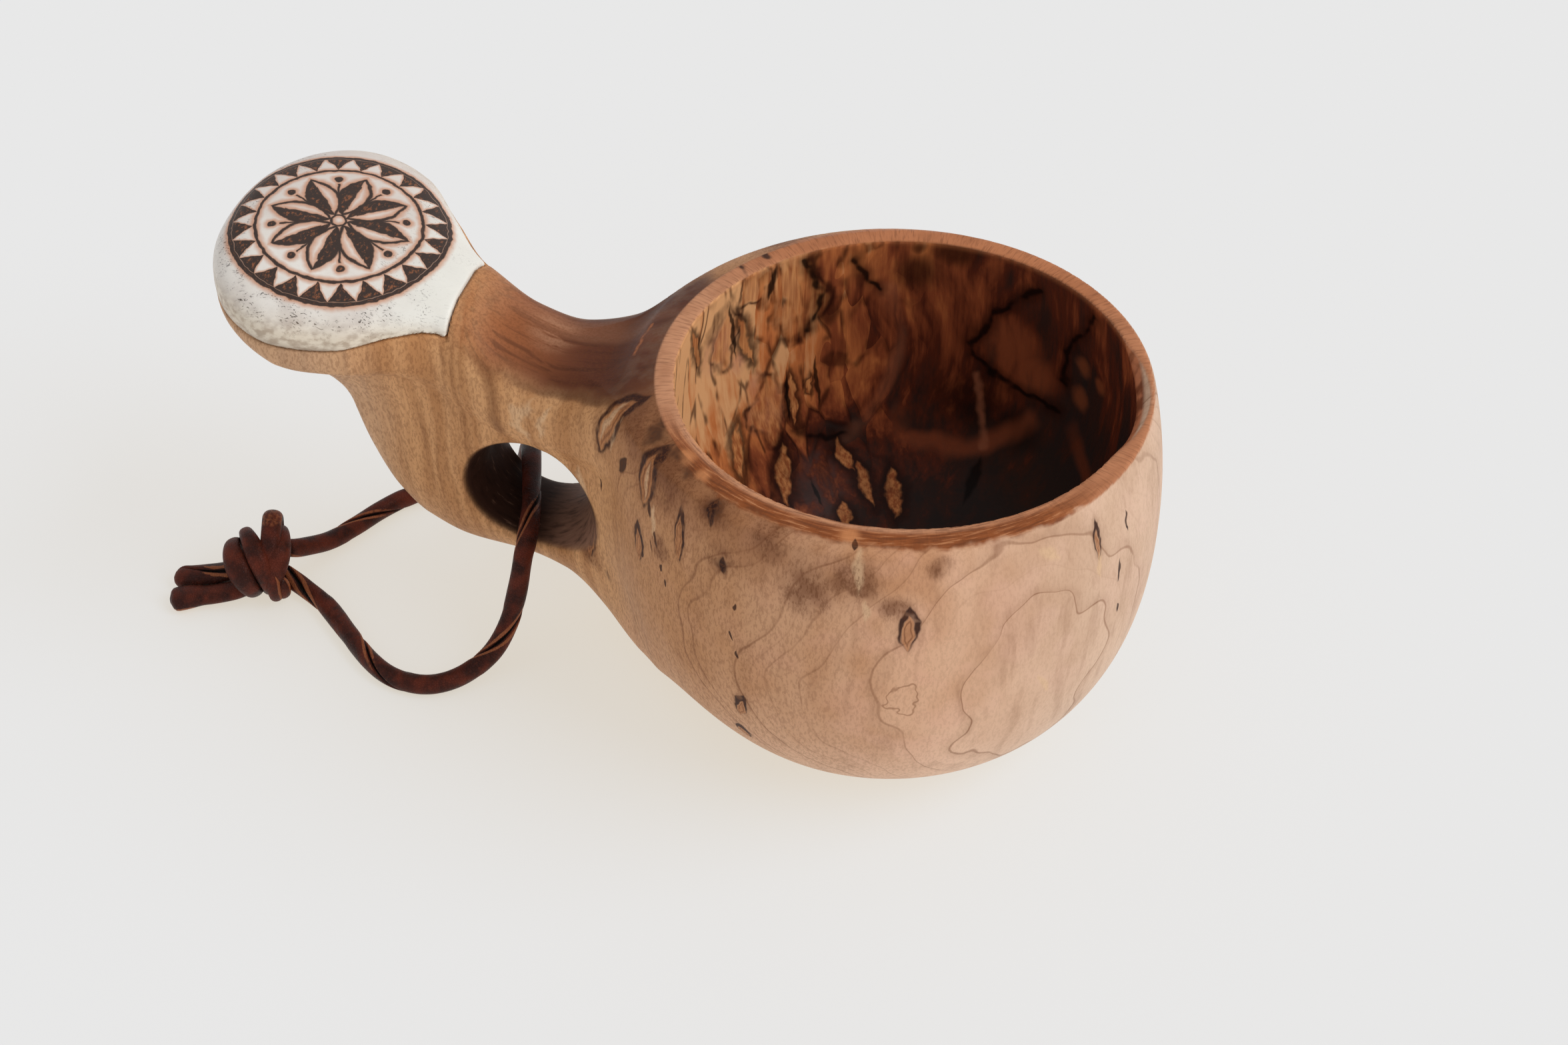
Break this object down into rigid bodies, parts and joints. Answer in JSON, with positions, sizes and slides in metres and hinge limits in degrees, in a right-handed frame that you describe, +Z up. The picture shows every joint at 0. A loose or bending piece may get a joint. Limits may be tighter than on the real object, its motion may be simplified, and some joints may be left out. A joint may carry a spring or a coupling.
{
  "type": "wooden drinking cup",
  "caption": "Carved burl drinking cup with a round bowl, a handle with a finger hole and an antler inlay, and a knotted leather thong loop.",
  "frame": {"origin": "on the surface that the cup stands on, under the centre of its mouth", "axes": "+Z up, the handle points along -X and the thong's knot lies beyond the handle's end"},
  "size_m": [0.1883, 0.097, 0.0793],
  "materials": {
    "burl_wood": "oiled, satin",
    "antler": "polished antler, satin, with a burnt ornament",
    "leather": "dyed dark brown, waxed"
  },
  "bodies": {
    "root": {"cup_body": "burl_wood", "antler_inlay": "antler", "cord_loop": "leather", "cord_knot": "leather", "cord_tail_upper": "leather", "cord_tail_lower": "leather"}
  },
  "joints": []
}
